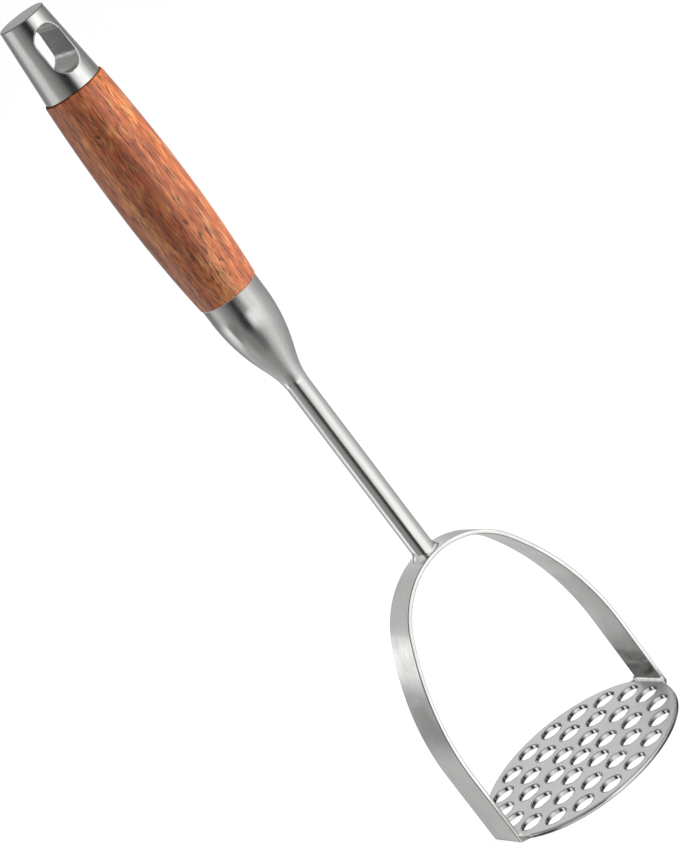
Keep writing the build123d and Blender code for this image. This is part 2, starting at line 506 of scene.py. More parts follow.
def blasted_steel(name, bright):
    """Evenly blasted, matte steel."""
    material, graph, place = new_material(name)
    grains = graph.noise(place, (5200.0,) * 3, roughness=0.6)
    patches = graph.noise(place, (90.0,) * 3, detail=3.0)
    # bright below 1 paints shade into the blasted steel's colour
    colour = graph.mix(graph.noise_span(grains), solid(BLASTED_DULL, bright), solid(BLASTED, bright))
    finish_metal(graph, colour, graph.noise_span(patches, 0.42, 0.5), graph.bump(grains, 0.01))
    return material


def polished_steel(name):
    """Bright cut steel of the plate's rim and hole walls, with faint turning lines."""
    material, graph, place = new_material(name)
    lines = graph.noise(place, (300.0, 300.0, 5200.0))
    colour = steel_colour(graph, graph.noise_span(lines))
    finish_metal(graph, colour, graph.noise_span(lines, 0.1, 0.16), graph.bump(lines, 0.002))
    return material


def corner_line_steel(name, dark_from=50.0, dark_by=86.0, left_end=4.0):
    """Darkened steel of the strap's rounded corners, a painted dark edge reflection, nearly black as a
    painted reflection where the left arm meets the stem.
    """
    material, graph, place = new_material(name)
    streaks = graph.noise(place, (160.0,) * 3)
    # Darker steel along the rounded corners, a painted dark edge reflection
    dull = graph.mix(graph.noise_span(streaks), grey(0.34), grey(0.40))
    x, _, z = graph.axes(place)
    high = graph.over(z, dark_from, dark_by)
    left = graph.over(x, 0.0, left_end, 1.0, 0.0)
    # Nearly black near the stem on the left, a painted reflection
    colour = graph.mix(graph.math("MULTIPLY", high, left), dull, grey(0.05))
    finish_metal(graph, colour, graph.noise_span(streaks, 0.2, 0.26), graph.bump(streaks, 0.001))
    return material


def neck_weld_steel(name, line=-0.5, line_edge=(0.3, 0.9), toe_edge=(0.1, 0.6), toe_start=(1.0, 3.5)):
    """Brushed weld metal with two dark lines painted on it as painted reflections: one down the face that
    the photo camera sees, at a fixed place on the piece, and one along its toe on the right."""
    material, graph, place = new_material(name)
    streaks = graph.noise(place, (3000.0, 3000.0, 300.0), detail=3.0)
    clean = steel_colour(graph, graph.noise_span(streaks))
    flat = graph.vector("MULTIPLY", place, (1.0, 0.0, 1.0))
    arm = graph.vector("SUBTRACT", flat, (0.0, 0.0, CROWN_CENTRE_Z * MM))
    reach = graph.measure("LENGTH", arm)
    near_toe = graph.over(reach, *(CROWN_RADIUS + edge for edge in toe_edge), 0.85, 0.0)
    toe_mask = graph.math("MULTIPLY", near_toe, graph.over(graph.axes(place)[0], *toe_start))
    # Painted reflection line down the face that the camera sees, at a fixed place on the piece
    sideways = graph.measure("DOT_PRODUCT", place, TOWARDS_RIGHT)
    beside = graph.math("ABSOLUTE", graph.math("SUBTRACT", sideways, line * MM))
    line_mask = graph.over(beside, *line_edge, 0.9, 0.0)
    colour = graph.mix(graph.math("MAXIMUM", toe_mask, line_mask), clean, solid(WELD_REFLECTION_LINE))
    finish_metal(graph, colour, graph.noise_span(streaks, 0.14, 0.2), graph.bump(streaks, 0.003))
    return material


def dressed_weld(name):
    """Weld metal that was ground back and brushed, in a colour brighter than the steel, partly a painted
    highlight.
    """
    material, graph, place = new_material(name)
    ripples = graph.noise(place, (900.0,) * 3, detail=4.0, roughness=0.6)
    stain = graph.noise(place, (350.0,) * 3, detail=3.0)
    colour = graph.mix(graph.span(stain, 0.35, 0.75), solid(WELD_CLEAN_HIGHLIGHT), solid(WELD_STAINED))
    finish_metal(graph, colour, graph.noise_span(ripples, 0.2, 0.32), graph.bump(ripples, 0.012))
    return material


def rosewood_figure(graph, place):
    """The wood's colour, with masks of its pores and veins and its fibres' relief. The grain runs up Z."""
    sway = graph.vector("MULTIPLY", place, (45.0, 45.0, 38.0))
    sway = graph.node("ShaderNodeTexNoise", None, Vector=sway, Scale=1.0, Detail=2.0).outputs["Color"]
    along = graph.vector("ADD", place, graph.vector("MULTIPLY", sway, (0.0022, 0.0022, 0.0)))
    bands = graph.noise(along, (150.0, 150.0, 9.0), detail=3.0, roughness=0.6)
    mottle = graph.noise(along, (520.0, 520.0, 130.0), detail=3.0, roughness=0.6)
    veins = graph.noise(along, (1000.0, 1000.0, 40.0), detail=3.0, roughness=0.6)
    pores = graph.noise(along, (2400.0, 2400.0, 190.0), detail=1.0)
    fibres = graph.noise(along, (3500.0, 3500.0, 130.0), roughness=0.6)

    colour = graph.ramp(bands, [(at, solid(tint)) for at, tint in WOOD_BODY])
    colour = graph.mix(graph.span(mottle, 0.48, 0.70, 0.0, 0.42), colour, solid(WOOD_LIGHT))
    colour = graph.mix(graph.span(mottle, 0.32, 0.50, 0.30, 0.0), colour, solid(WOOD_DARK))
    colour = graph.mix(graph.span(veins, 0.54, 0.64, 0.0, 0.50), colour, solid(WOOD_VEIN))
    colour = graph.mix(graph.span(fibres, 0.34, 0.60, 0.60, 0.0), colour, solid(WOOD_FIBRE))
    pore_mask = graph.span(pores, 0.60, 0.67)
    colour = graph.mix(graph.math("MULTIPLY", pore_mask, 0.88), colour, solid(WOOD_PORE))
    return colour, pore_mask, veins, fibres


def rosewood(name, seam_edge=(0.36, 0.16), dry_edge=(0.8, 0.55)):
    """Oiled reddish brown rosewood with painted shade along its seam under the end cap, where it also
    carries no oil.
    """
    material, graph, place = new_material(name)
    colour, pores, veins, fibres = rosewood_figure(graph, place)
    height = graph.axes(place)[2]
    # Painted shade in the seam under the end cap
    seam = graph.over(height, *(UPPER_SEAM - edge for edge in seam_edge))
    oiled = graph.over(height, *(UPPER_SEAM - edge for edge in dry_edge), 1.0, 0.0)
    rough = graph.math("ADD", graph.noise_span(veins, 0.32, 0.42), graph.math("MULTIPLY", pores, 0.2))
    surface = {
        "Base_Color": graph.mix(seam, colour, solid(WOOD_SEAM_SHADE)),
        "Roughness": rough,
        "IOR": 1.5,
        "Specular_IOR_Level": graph.math("MULTIPLY", oiled, 0.5),
        "Coat_Weight": graph.math("MULTIPLY", oiled, 0.6),
        "Coat_Roughness": 0.28,
        "Normal": graph.bump(graph.math("SUBTRACT", 1.0, pores), 0.03, Normal=graph.bump(fibres, 0.008)),
    }
    graph.finish(graph.node("ShaderNodeBsdfPrincipled", None, **surface))
    return material


# Stem, ferrule and grip


def make_stem(steel):
    """The round stem with its turned-down tang."""
    profile = [
        (0.0, STEM_FOOT),
        (STEM_RADIUS, STEM_FOOT),
        (STEM_RADIUS, TENON_END),
        (TANG_RADIUS, TENON_END),
        (TANG_RADIUS, TANG_TOP),
        (0.0, TANG_TOP),
    ]
    dress(finish_mesh("round_stem", *lathe(profile)), "bar_steel", [steel], "stem")


def make_ferrule(steel):
    """The trumpet-shaped ferrule, hollow round the stem and the grip's tenon."""
    bell = arc_points((FERRULE_RADIUS, LAND_START), (OGEE_RADIUS, OGEE_HEIGHT), (0, -1), BELL_STEPS)
    tip = (FERRULE_TIP_RADIUS, FERRULE_TIP)
    flute = eased_points(bell[-1], bell[-1] - bell[-2], tip, (-FERRULE_TIP_LEAN, -1), FLUTE_STEPS)
    throat = (OGEE_RADIUS - FERRULE_WALL, OGEE_HEIGHT)
    hollow = arc_points((TENON_RADIUS, TENON_END), throat, (0, -1), HOLLOW_STEPS)
    bore = STEM_RADIUS - FERRULE_OVERLAP
    outside = [(FERRULE_RADIUS, LOWER_SEAM)] + bell + flute[1:]
    inside = [(bore, FERRULE_TIP), (bore, HOLLOW_END)] + hollow[::-1] + [(TENON_RADIUS, LOWER_SEAM)]
    closed = [tuple(point) for point in outside + inside]
    profile = rounded_profile(closed, {0: FERRULE_EDGE_ROUND})
    dress(finish_mesh("trumpet_ferrule", *lathe(profile)), "cap_steel", [steel], "ferrule")


def make_grip(wood):
    """The turned grip, bored for the tang and the end cap's spigot."""
    belly = (BELLY_RADIUS, BELLY_HEIGHT)
    lower = arc_points(belly, (GRIP_LOWER_RADIUS, LOWER_SEAM), (0, -1), BELLY_STEPS)
    upper = arc_points(belly, (GRIP_UPPER_RADIUS, UPPER_SEAM), (0, 1), BELLY_STEPS)
    outside = [tuple(point) for point in lower[::-1] + upper[1:]]
    bores = [
        (SPIGOT_BORE_RADIUS, UPPER_SEAM),
        (SPIGOT_BORE_RADIUS, SPIGOT_BORE_END),
        (TANG_BORE_RADIUS, SPIGOT_BORE_END),
        (TANG_BORE_RADIUS, TENON_END),
        (TENON_RADIUS, TENON_END),
        (TENON_RADIUS, LOWER_SEAM),
    ]
    rounds = {0: GRIP_LOWER_ROUND, len(outside) - 1: GRIP_UPPER_ROUND}
    profile = rounded_profile(outside + bores, rounds)
    dress(finish_mesh("turned_grip", *lathe(profile)), "grip_wood", [wood], "grip")


# End cap


def cone_radius(height):
    """The end cap's outer radius at a height."""
    share = (height - UPPER_SEAM) / (CAP_TOP - UPPER_SEAM)
    return CAP_BASE_RADIUS + share * (CAP_TOP_RADIUS - CAP_BASE_RADIUS)


def cap_surface(across, height):
    """The point of the cone's front half at a sideways place and a height."""
    return Vector((across, -math.sqrt(cone_radius(height) ** 2 - across**2), height))


def slot_outline(direction):
    """The point of the slot's outline in that direction from its centre, and its outward normal."""
    across, up = direction
    if abs(SLOT_HALF_WIDTH * up) <= SLOT_STRAIGHT_HALF * abs(across):
        point = Vector((math.copysign(SLOT_HALF_WIDTH, across), SLOT_HALF_WIDTH / abs(across) * up))
        return point, Vector((math.copysign(1, across), 0))
    centre = Vector((0, math.copysign(SLOT_STRAIGHT_HALF, up)))
    ray = Vector(direction).normalized()
    along = ray.dot(centre)
    reach = along + math.sqrt(along**2 - centre.length_squared + SLOT_HALF_WIDTH**2)
    point = ray * reach
    return point, (point - centre).normalized()


def slot_distance(x, z):
    """How far a place is from the middle line of the slot."""
    return math.hypot(x, max(0.0, abs(z - SLOT_CENTRE) - SLOT_STRAIGHT_HALF))


def is_slot_wall(face):
    """True for the flat and round walls that run through the end cap's slot."""
    x, y, z = face.center / MM
    level = abs(face.normal.y) < SLOT_WALL_NORMAL
    return slot_distance(x, z) < SLOT_HALF_WIDTH + TINY and level and abs(z - SLOT_CENTRE) < SLOT_LIMIT


def is_dark_rim(face):
    """True for the rounded rim along the near left side of the end cap's slot, which gets a painted dark
    reflection.
    """
    x, y, z = face.center / MM
    beyond = slot_distance(x, z) - SLOT_HALF_WIDTH
    return y < 0 and x < DARK_RIM_X and TINY < beyond < DARK_RIM_SHARE * SLOT_EDGE_ROUND


def cap_border():
    """The (angle, height) places round the border of the cone's front half."""
    cells = CAP_SIDE_CELLS
    half_turn = math.pi / 2
    rise = CAP_TOP_ROW - UPPER_SEAM
    border = [(-half_turn + math.pi * i / cells, UPPER_SEAM) for i in range(cells)]
    border += [(half_turn, UPPER_SEAM + rise * i / cells) for i in range(cells)]
    border += [(half_turn - math.pi * i / cells, CAP_TOP_ROW) for i in range(cells)]
    border += [(-half_turn, CAP_TOP_ROW - rise * i / cells) for i in range(cells)]
    return border


def cap_column(angle, height):
    """Points from the slot's wall over its round rim and along the cone to a place on the border."""
    rim, outward = slot_outline((angle * cone_radius(SLOT_CENTRE), height - SLOT_CENTRE))
    corner = cap_surface(rim.x, SLOT_CENTRE + rim.y)
    beside = cap_surface(rim.x + outward.x * TINY, SLOT_CENTRE + rim.y + outward.y * TINY)
    inside = corner + Vector((0, 1, 0))
    points = corner_points(inside, corner, beside, SLOT_EDGE_ROUND, CAP_ROUND_STEPS)
    start = points[-1]
    start_angle = math.asin(start.x / cone_radius(start.z))
    points[-1] = cap_surface(start.x, start.z)
    for i in range(1, CAP_BAND_CELLS + 1):
        t = i / CAP_BAND_CELLS
        a = start_angle + (angle - start_angle) * t
        z = start.z + (height - start.z) * t
        points.append(Vector((cone_radius(z) * math.sin(a), -cone_radius(z) * math.cos(a), z)))
    return points


def make_end_cap(steels):
    """The slotted end cap: each half is a cone face wrapped from the slot's round rim to its borders."""
    columns = [cap_column(angle, height) for angle, height in cap_border()]
    verts = []
    faces = []
    for mirror in (1, -1):
        for points in columns:
            verts += [(p.x, p.y * mirror, p.z) for p in points]
    rows = len(columns[0])
    half = rows * len(columns)
    for j in range(len(columns)):
        here = j * rows
        beside = (j + 1) % len(columns) * rows
        for side in (0, half):
            for i in range(side, side + rows - 1):
                faces.append((here + i, beside + i, beside + i + 1, here + i + 1))
        faces.append((here, half + here, half + beside, beside))

    lower = [(CAP_BASE_RADIUS, UPPER_SEAM), (SPIGOT_RADIUS, UPPER_SEAM), (SPIGOT_RADIUS, SPIGOT_END)]
    lower += [(TANG_RADIUS, SPIGOT_END), (TANG_RADIUS, TANG_TOP), (0.0, TANG_TOP)]
    side = (cone_radius(UPPER_SEAM), UPPER_SEAM)
    upper = corner_points(side, (CAP_TOP_RADIUS, CAP_TOP), (0, CAP_TOP), CAP_EDGE_ROUND, CAP_ROUND_STEPS)
    upper[0] = Vector((cone_radius(CAP_TOP_ROW), CAP_TOP_ROW))
    upper.append((0.0, CAP_TOP))
    ring = 2 * CAP_SIDE_CELLS
    for profile in (lower, upper):
        faces += ring_faces(len(verts), len(profile), ring)
        for radius, height in profile:
            for j in range(ring):
                angle = 2 * math.pi * j / ring
                verts.append((radius * math.sin(angle), -radius * math.cos(angle), height))
    cap = finish_mesh("slotted_cap", verts, faces)
    dress(cap, "cap_steel", steels, "end_cap")
    disc_level = (CAP_TOP - TINY) * MM
    edge_level = (CAP_TOP_ROW + TINY) * MM
    # The end disc gets the darker copy of the blasted steel, a painted shade
    mark_faces(cap, 1, lambda face: face.center.z > disc_level)
    # The top edge round gets the painted dark reflection
    mark_faces(cap, 2, lambda face: edge_level < face.center.z < disc_level)
    # The slot's walls get the steel with painted shade
    mark_faces(cap, 3, is_slot_wall)
    # The slot's near left rim gets the painted dark reflection too
    mark_faces(cap, 2, is_dark_rim)


# Mashing plate


def hole_centres():
    """Places of the plate's holes."""
    centres = [(0.0, 0.0)]
    for ring, (holes, start) in enumerate(HOLE_RINGS, start=1):
        for i in range(holes):
            angle = math.radians(start + 360 * i / holes)
            radius = ring * HOLE_RING_PITCH
            centres.append((radius * math.cos(angle), radius * math.sin(angle)))
    return centres


def circle(centre, radius, count, limit):
    """Points round a circle, pulled in to the feet's flats where limit is given."""
    points = []
    for i in range(count):
        angle = 2 * math.pi * i / count
        x = centre[0] + radius * math.cos(angle)
        if limit is not None:
            x = max(-limit, min(limit, x))
        points.append((x, centre[1] + radius * math.sin(angle)))
    return points


def edge_loops(centre, radius, edge_round, count, limit, outward):
    """Loops from the top face over the round, down the wall and round to the bottom face."""
    insets = [((edge_round + PLATE_EDGE_LINE) * outward, 0.0)]
    for step in range(PLATE_ROUND_STEPS + 1):
        turn = math.pi / 2 * step / PLATE_ROUND_STEPS
        insets.append((edge_round * (1 - math.sin(turn)) * outward, edge_round * (1 - math.cos(turn))))
    loops = []
    for inset, drop in insets:
        inner_limit = None if limit is None else limit - inset
        loops.append((circle(centre, radius - inset, count, inner_limit), PLATE_THICKNESS - drop))
    return loops + [(points, PLATE_THICKNESS - height) for points, height in reversed(loops)]


def flat_faces(walls):
    """Vertices and faces of the plate's flat top and bottom, between the top loops of its walls."""
    outline = []
    edges = []
    for wall in walls:
        loop = wall[0][0]
        first = len(outline)
        edges += [(first + i, first + (i + 1) % len(loop)) for i in range(len(loop))]
        outline += [Vector(point) for point in loop]
    points, _, triangles, _, _, _ = delaunay_2d_cdt(outline, edges, [], 0, 1e-5)
    holes = [Vector(centre) for centre in hole_centres()]
    verts = []
    faces = []
    for height in (PLATE_THICKNESS, 0.0):
        first = len(verts)
        verts += [(point.x, point.y, height) for point in points]
        for triangle in triangles:
            middle = sum((points[i] for i in triangle), Vector((0, 0))) / 3
            if all((middle - hole).length > HOLE_RADIUS for hole in holes):
                faces.append(tuple(first + i for i in triangle))
    return verts, faces


def make_plate(blasted, polished, edge):
    """The holed plate: blasted faces, with polished and softly rounded rims and hole walls."""
    walls = [edge_loops((0, 0), PLATE_RADIUS, PLATE_EDGE_ROUND, RIM_SEGMENTS, PLATE_FLAT_X, 1)]
    for centre in hole_centres():
        walls.append(edge_loops(centre, HOLE_RADIUS, HOLE_EDGE_ROUND, HOLE_SEGMENTS, None, -1))
    verts, faces = flat_faces(walls)
    for wall in walls:
        faces += ring_faces(len(verts), len(wall), len(wall[0][0]))
        for loop, height in wall:
            verts += [(x, y, height) for x, y in loop]
    plate = finish_mesh("holed_plate", verts, faces)
    dress(plate, "plate_steel", [blasted, polished, edge], "mash_plate")
    mark_faces(plate, 1, lambda face: abs(face.normal.z) < PLATE_FLAT_NORMAL)
    # The edge lines and the outer parts of the rounds get the painted dark edge reflection
    mark_faces(plate, 2, lambda face: len(face.vertices) == 4 and abs(face.normal.z) > PLATE_LINE_NORMAL)
    for polygon in plate.data.polygons:
        polygon.use_smooth = abs(polygon.normal.z) < PLATE_FLAT_NORMAL


# Arched strap and welds


def arch_line():
    """The strap's outer line from the right foot to the left one, as (place, outward direction)."""
    heights = [FOOT_ROUND * share for share in FOOT_ROUND_SHARES]
    heights += [FOOT_ROUND + (STRAIGHT_FOOT - FOOT_ROUND) * i / FOOT_STEPS for i in range(FOOT_STEPS)]
    half = [(Vector((FOOT_OUTER_X, height)), Vector((1, 0))) for height in heights]
    shoulder = Vector((SHOULDER_CENTRE_X, STRAIGHT_FOOT))
    for i in range(SHOULDER_STEPS):
        angle = math.radians(SHOULDER_TURN * i / SHOULDER_STEPS)
        outward = Vector((math.cos(angle), math.sin(angle)))
        half.append((shoulder + outward * SHOULDER_RADIUS, outward))
    crown = Vector((0, CROWN_CENTRE_Z))
    for i in range(CROWN_STEPS + 1):
        angle = math.radians(SHOULDER_TURN + (90 - SHOULDER_TURN) * i / CROWN_STEPS)
        outward = Vector((math.cos(angle), math.sin(angle)))
        half.append((crown + outward * CROWN_RADIUS, outward))
    mirrored = [(Vector((-p.x, p.y)), Vector((-o.x, o.y))) for p, o in half[:-1]]
    return half + mirrored[::-1]


def strap_half_width(height):
    """Half the strap's width at a height: parallel legs, then an arc that narrows to the crown."""
    rise = ARCH_HEIGHT - STRAIGHT_FOOT
    drop = FOOT_HALF_WIDTH - CROWN_HALF_WIDTH
    radius = (rise**2 + drop**2) / (2 * drop)
    above = max(0.0, height - STRAIGHT_FOOT)
    return FOOT_HALF_WIDTH - radius + math.sqrt(radius**2 - above**2)


def strap_section(place, outward):
    """The strap's rounded section at a place on its outer line, thinner over the round of a foot."""
    lift = max(0.0, FOOT_ROUND - place.y)
    outer = FOOT_ROUND - math.sqrt(FOOT_ROUND**2 - lift**2)
    corners = []
    for depth, side in ((outer, 1), (outer, -1), (STRAP_THICKNESS, -1), (STRAP_THICKNESS, 1)):
        point = place - outward * depth
        corners.append((point.x, side * strap_half_width(point.y), point.y))
    edge_round = min(STRAP_EDGE_ROUND, 0.45 * (STRAP_THICKNESS - outer))
    return rounded_profile(corners, dict.fromkeys(range(4), edge_round), STRAP_CORNER_STEPS)


def make_strap(steel, edge_steel, corner_steel):
    """The arched strap, a flat blank with softly rounded edges that narrows towards the crown."""
    sections = [strap_section(place, outward) for place, outward in arch_line()]
    verts = [tuple(point) for section in sections for point in section]
    count = len(sections[0])
    faces = ring_faces(0, len(sections), count)
    faces.append(tuple(range(count)))
    faces.append(tuple(range(len(verts) - count, len(verts))))
    strap = finish_mesh("arched_strap", verts, faces)
    dress(strap, "strap_steel", [steel, edge_steel, corner_steel], "arch_strap")
    # The side faces get the brighter steel, partly a painted highlight
    mark_faces(strap, 1, lambda face: abs(face.normal.y) > STRAP_EDGE_NORMAL)
    # The rounded corners get the darkened steel of the painted dark edge reflection
    mark_faces(strap, 2, lambda face: STRAP_EDGE_NORMAL < abs(face.normal.y) < STRAP_FLAT_EDGE_NORMAL)


def make_neck_weld(steel):
    """The hollow-faced weld between the stem and the crown, wide along the arch and narrow across it."""
    verts = []
    faces = []
    inner = STEM_RADIUS - NECK_OVERLAP
    for j in range(NECK_SEGMENTS):
        angle = 2 * math.pi * j / NECK_SEGMENTS
        along, across = math.cos(angle), math.sin(angle)
        toe = 1 / math.sqrt((along / NECK_TOE_X) ** 2 + (across / NECK_TOE_Y) ** 2)
        crown = CROWN_CENTRE_Z + math.sqrt(CROWN_RADIUS**2 - (toe * along) ** 2)
        toe_height = crown - NECK_SINK - NECK_SIDE_SINK * across**2
        lean = NECK_LEAN * (toe - STEM_RADIUS) / (NECK_TOE_X - STEM_RADIUS)
        top = NECK_TOP - NECK_SIDE_DROP * across**2
        profile = arc_points((STEM_RADIUS, top), (toe, toe_height), (lean, -1), NECK_STEPS)
        profile += [Vector((inner, STEM_FOOT)), Vector((inner, top))]
        verts += [(p.x * along, p.x * across, p.y) for p in profile]
        count = len(profile)
        here = j * count
        beside = (j + 1) % NECK_SEGMENTS * count
        for i in range(count):
            after = (i + 1) % count
            faces.append((here + i, beside + i, beside + after, here + after))
    dress(finish_mesh("neck_fillet_weld", verts, faces), "weld_steel", [steel], "neck_weld")


def flare_section(share, side):
    """A closed section across one end flare of a foot weld, from the strap's edge to the rim."""
    y = FOOT_HALF_WIDTH + FLARE_REACH * share
    rim = min(FOOT_INNER_X, math.sqrt(PLATE_RADIUS**2 - y**2))
    beyond = FOOT_INNER_X + FLARE_COVER - math.sqrt(PLATE_RADIUS**2 - FOOT_HALF_WIDTH**2)
    outer = rim + beyond * (1 - share) ** 2
    inner = rim - FLARE_THICKNESS * share
    rise = 1 - math.sqrt(1 - (1 - share) ** 2)
    top = PLATE_THICKNESS + FLARE_HEIGHT * rise + FLARE_END
    corners = [(inner, FLARE_BOTTOM), (outer, FLARE_BOTTOM), (outer, top), (inner, top)]
    points = rounded_profile(corners, dict.fromkeys((1, 2, 3), FLARE_ROUND), FLARE_ROUND_STEPS)
    return [(side * p.x, y, p.y) for p in points]


def make_foot_weld(name, node, side, steel, flare_steel):
    """A small hollow bead along the inside of a foot, flared at both edges of the strap."""
    toe = (FOOT_INNER_X - BEAD_LEG, PLATE_THICKNESS)
    top = (FOOT_INNER_X, PLATE_THICKNESS + BEAD_LEG)
    bead = [tuple(p) for p in arc_points(top, toe, (-BEAD_LEAN, -1), BEAD_STEPS)]
    buried = FOOT_INNER_X + BEAD_OVERLAP
    bead += [(toe[0], PLATE_THICKNESS - BEAD_SINK), (buried, PLATE_THICKNESS - BEAD_SINK), (buried, top[1])]
    flare = [flare_section(i / FLARE_STEPS, side) for i in range(FLARE_STEPS + 1)]
    runs = [
        [[(side * x, end * FOOT_HALF_WIDTH, z) for x, z in bead] for end in (-1, 1)],
        flare,
        [[(x, -y, z) for x, y, z in section] for section in flare],
    ]
    verts = []
    faces = []
    for sections in runs:
        first = len(verts)
        count = len(sections[0])
        for section in sections:
            verts += section
        faces += ring_faces(first, len(sections), count)
        faces.append(tuple(range(first, first + count)))
        faces.append(tuple(range(len(verts) - count, len(verts))))
    weld = finish_mesh(name, verts, faces)
    dress(weld, "weld_steel", [steel, flare_steel], node)
    mark_faces(weld, 1, lambda face: abs(face.center.y) > FOOT_HALF_WIDTH * MM)


# Studio

# What polished metal sees, as rows of (azimuth, brightness) stops. Azimuths are as in Graph.turn.
UNDER_ROW = (
    (-180, 0.55), (-125, 0.56), (-84, 0.54), (-53, 0.47), (-26, 0.40), (-4, 0.44), (26, 0.80),
    (53, 1.08), (84, 0.80), (125, 0.58), (180, 0.55),
)
BELL_ROW = (
    (-180, 0.70), (-125, 0.66), (-100, 0.56), (-76, 0.58), (-55, 0.36), (-34, 0.32), (-17, 0.18),
    (2, 0.22), (17, 0.62), (34, 0.88), (53, 1.02), (73, 0.84), (96, 0.68), (125, 0.50), (160, 0.50),
    (180, 0.70),
)
STEM_ROW = (
    (-180, 0.62), (-154, 0.40), (-141, 0.36), (-132, 0.60), (-118, 0.85), (-104, 1.30), (-92, 1.30),
    (-82, 0.26), (-58, 0.34), (-44, 0.34), (-30, 0.12), (-22, 0.03), (-7, 0.03), (1, 0.95), (8, 1.40),
    (48, 1.38), (70, 1.00), (95, 0.70), (130, 0.55), (145, 0.36), (158, 0.45), (180, 0.62),
)
FERRULE_ROW = (
    (-180, 0.60), (-145, 0.30), (-118, 0.28), (-100, 0.62), (-82, 0.80), (-68, 0.55), (-58, 0.42),
    (-46, 0.33), (-30, 0.20), (-18, 0.06), (8, 0.04), (18, 0.48), (30, 1.08), (45, 1.04), (62, 1.20),
    (80, 0.82), (101, 0.62), (140, 0.42), (180, 0.60),
)
CAP_ROW = (
    (-180, 0.60), (-158, 0.32), (-136, 0.24), (-118, 0.36), (-104, 0.76), (-80, 0.82), (-64, 0.38),
    (-54, 0.34), (-42, 0.28), (-25, 0.16), (-12, 0.05), (4, 0.02), (13, 0.14), (24, 0.80), (40, 1.34),
    (60, 1.45), (76, 1.02), (98, 0.48), (132, 0.24), (158, 0.34), (180, 0.60),
)
HIGH_ROW = (
    (-180, 0.90), (-166, 0.62), (-150, 0.58), (-139, 0.66), (-124, 0.62), (-108, 0.66), (-60, 0.80),
    (0, 0.80), (60, 1.10), (120, 0.95), (180, 0.90),
)
# Each row with the lowest and the highest elevation at which it is at full strength. Between two
# rows the metal sees a blend of both.
STUDIO_ROWS = (
    (-90, -50, UNDER_ROW),
    (-38, -30, BELL_ROW),
    (-24, -18, STEM_ROW),
    (-15, -13, FERRULE_ROW),
    (-8, 6, CAP_ROW),
    (15, 90, HIGH_ROW),
)
# A soft bright card among them, as azimuth, half width, elevation, half height and brightness
STRAP_CARD = (-124, 14, 4.5, 4.5, 1.7)
AMBIENT = 0.45

# What the plate's rim and hole walls see just below the plate, as (azimuth, brightness) stops
RING_ROW = (
    (-180, 0.03), (-127, 0.03), (-121, 0.60), (-110, 0.64), (-106, 1.15), (-92, 1.15), (-84, 0.04),
    (-58, 0.04), (-50, 0.60), (-35, 0.75), (-10, 1.00), (12, 1.05), (26, 0.70), (44, 0.30), (62, 0.05),
    (92, 0.04), (108, 0.25), (124, 0.04), (180, 0.03),
)
RING_RADIUS = 130.0
RING_TOP = -41.0
RING_BOTTOM = -88.0
RING_SEGMENTS = 96

FLOOR_REACH = 3000.0
FLOOR_BOUNCE = 0.8
FLOOR_GLOW = 0.92
FLOOR_SHADE = 0.14


def make_camera():
    """The photograph's camera."""
    data = bpy.data.cameras.new("photo_camera")
    data.lens = CAMERA_LENS
    data.sensor_width = CAMERA_SENSOR
    data.sensor_fit = "AUTO"
    data.clip_start, data.clip_end = CAMERA_CLIP_M
    camera = bpy.data.objects.new("photo_camera", data)
    back = CAMERA_RIGHT.cross(CAMERA_UP)
    turn = Matrix((CAMERA_RIGHT, CAMERA_UP, back)).transposed()
    camera.matrix_world = Matrix.Translation(CAMERA_PLACE_M) @ turn.to_4x4()
    bpy.context.scene.collection.objects.link(camera)
    bpy.context.scene.camera = camera


def make_lamp(name, azimuth, elevation, distance_m, size_m, power):
    """A soft area lamp aimed at the middle of the object, kept out of mirror reflections."""
    data = bpy.data.lights.new(name, "AREA")
    data.shape = "DISK"
    data.size = size_m
    data.energy = power
    lamp = bpy.data.objects.new(name, data)
    a, e = math.radians(azimuth), math.radians(elevation)
    flat = TOWARDS_CAMERA * math.cos(a) + TOWARDS_RIGHT * math.sin(a)
    direction = flat * math.cos(e) + Vector((0, 0, math.sin(e)))
    lamp.location = PHOTO_AIM_M + direction * distance_m
    lamp.rotation_mode = "QUATERNION"
    lamp.rotation_quaternion = direction.to_track_quat("Z", "Y")
    lamp.visible_glossy = False
    bpy.context.scene.collection.objects.link(lamp)


def studio_colour(graph, direction):
    """The greys of the studio's rows and card in a direction."""
    azimuth, turn = graph.turn(direction)
    height = graph.measure("DOT_PRODUCT", direction, (0, 0, 1))
    elevation = graph.math("DEGREES", graph.math("ARCSINE", height))
    studio = graph.row(turn, STUDIO_ROWS[0][2])
    for (_, top_before, _), (bottom, _, stops) in zip(STUDIO_ROWS, STUDIO_ROWS[1:]):
        risen = graph.span(elevation, float(top_before), float(bottom))
        studio = graph.mix(risen, studio, graph.row(turn, stops))
    centre, half_width, middle, half_height, level = STRAP_CARD
    inside = 1.0
    for angle, aim, half in ((azimuth, centre, half_width), (elevation, middle, half_height)):
        off = graph.math("ABSOLUTE", graph.math("SUBTRACT", angle, float(aim)))
        inside = graph.math("MULTIPLY", inside, graph.span(off, half * 0.5, half * 1.5, 1.0, 0.0))
    return graph.mix(inside, studio, grey(level))


def make_world():
    """White for the camera, a studio of soft cards for reflections and an even light for the rest."""
    world = bpy.data.worlds.new("studio")
    bpy.context.scene.world = world
    world.use_nodes = True
    world.cycles.sampling_method = "NONE"
    graph = Graph(world.node_tree)
    studio = studio_colour(graph, graph.node("ShaderNodeTexCoord").outputs["Generated"])
    rays = graph.node("ShaderNodeLightPath").outputs
    for_gloss = graph.mix(rays["Is Glossy Ray"], grey(AMBIENT), studio)
    seen = graph.mix(rays["Is Camera Ray"], for_gloss, grey(1.0))
    graph.finish(graph.node("ShaderNodeBackground", None, Color=seen, Strength=1.0), "ShaderNodeOutputWorld")


